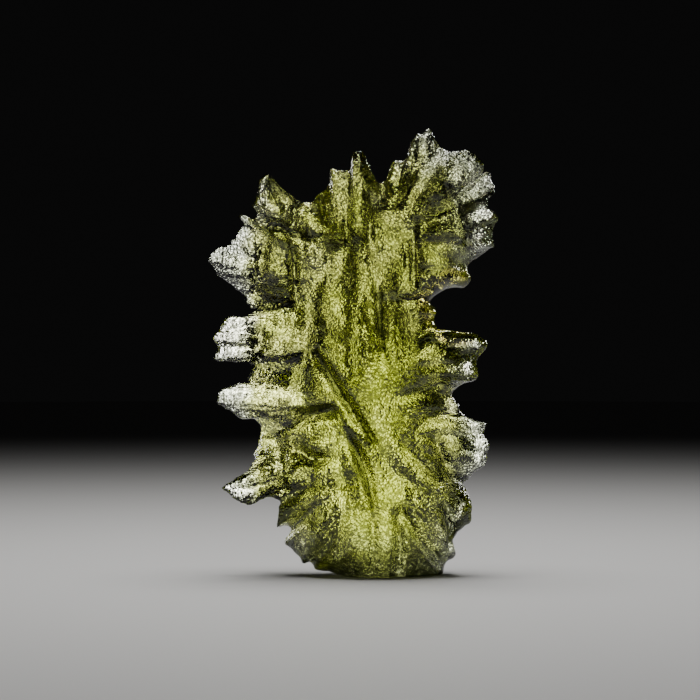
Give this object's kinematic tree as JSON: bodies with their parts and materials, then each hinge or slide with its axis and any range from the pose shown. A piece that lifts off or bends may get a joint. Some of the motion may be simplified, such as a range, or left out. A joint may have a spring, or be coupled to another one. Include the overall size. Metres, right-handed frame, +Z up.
{
  "type": "moldavite",
  "caption": "Upright piece of natural green glass with thin ragged fins all round its rim, furrowed faces and a small flat spot to stand on.",
  "frame": {"origin": "middle of the bounding box's underside, on the surface that the stone stands on", "axes": "+Z up along the stone's length, the pictured front looks along -Y, +X to the right as seen from the front"},
  "size_m": [0.0234, 0.0094, 0.036],
  "materials": {
    "glass": "natural pitted skin, clear yellow-green inside, nearly colourless in the thin fins, one smooth glossy chip on the right"
  },
  "bodies": {
    "root": {"moldavite": "glass"}
  },
  "joints": []
}
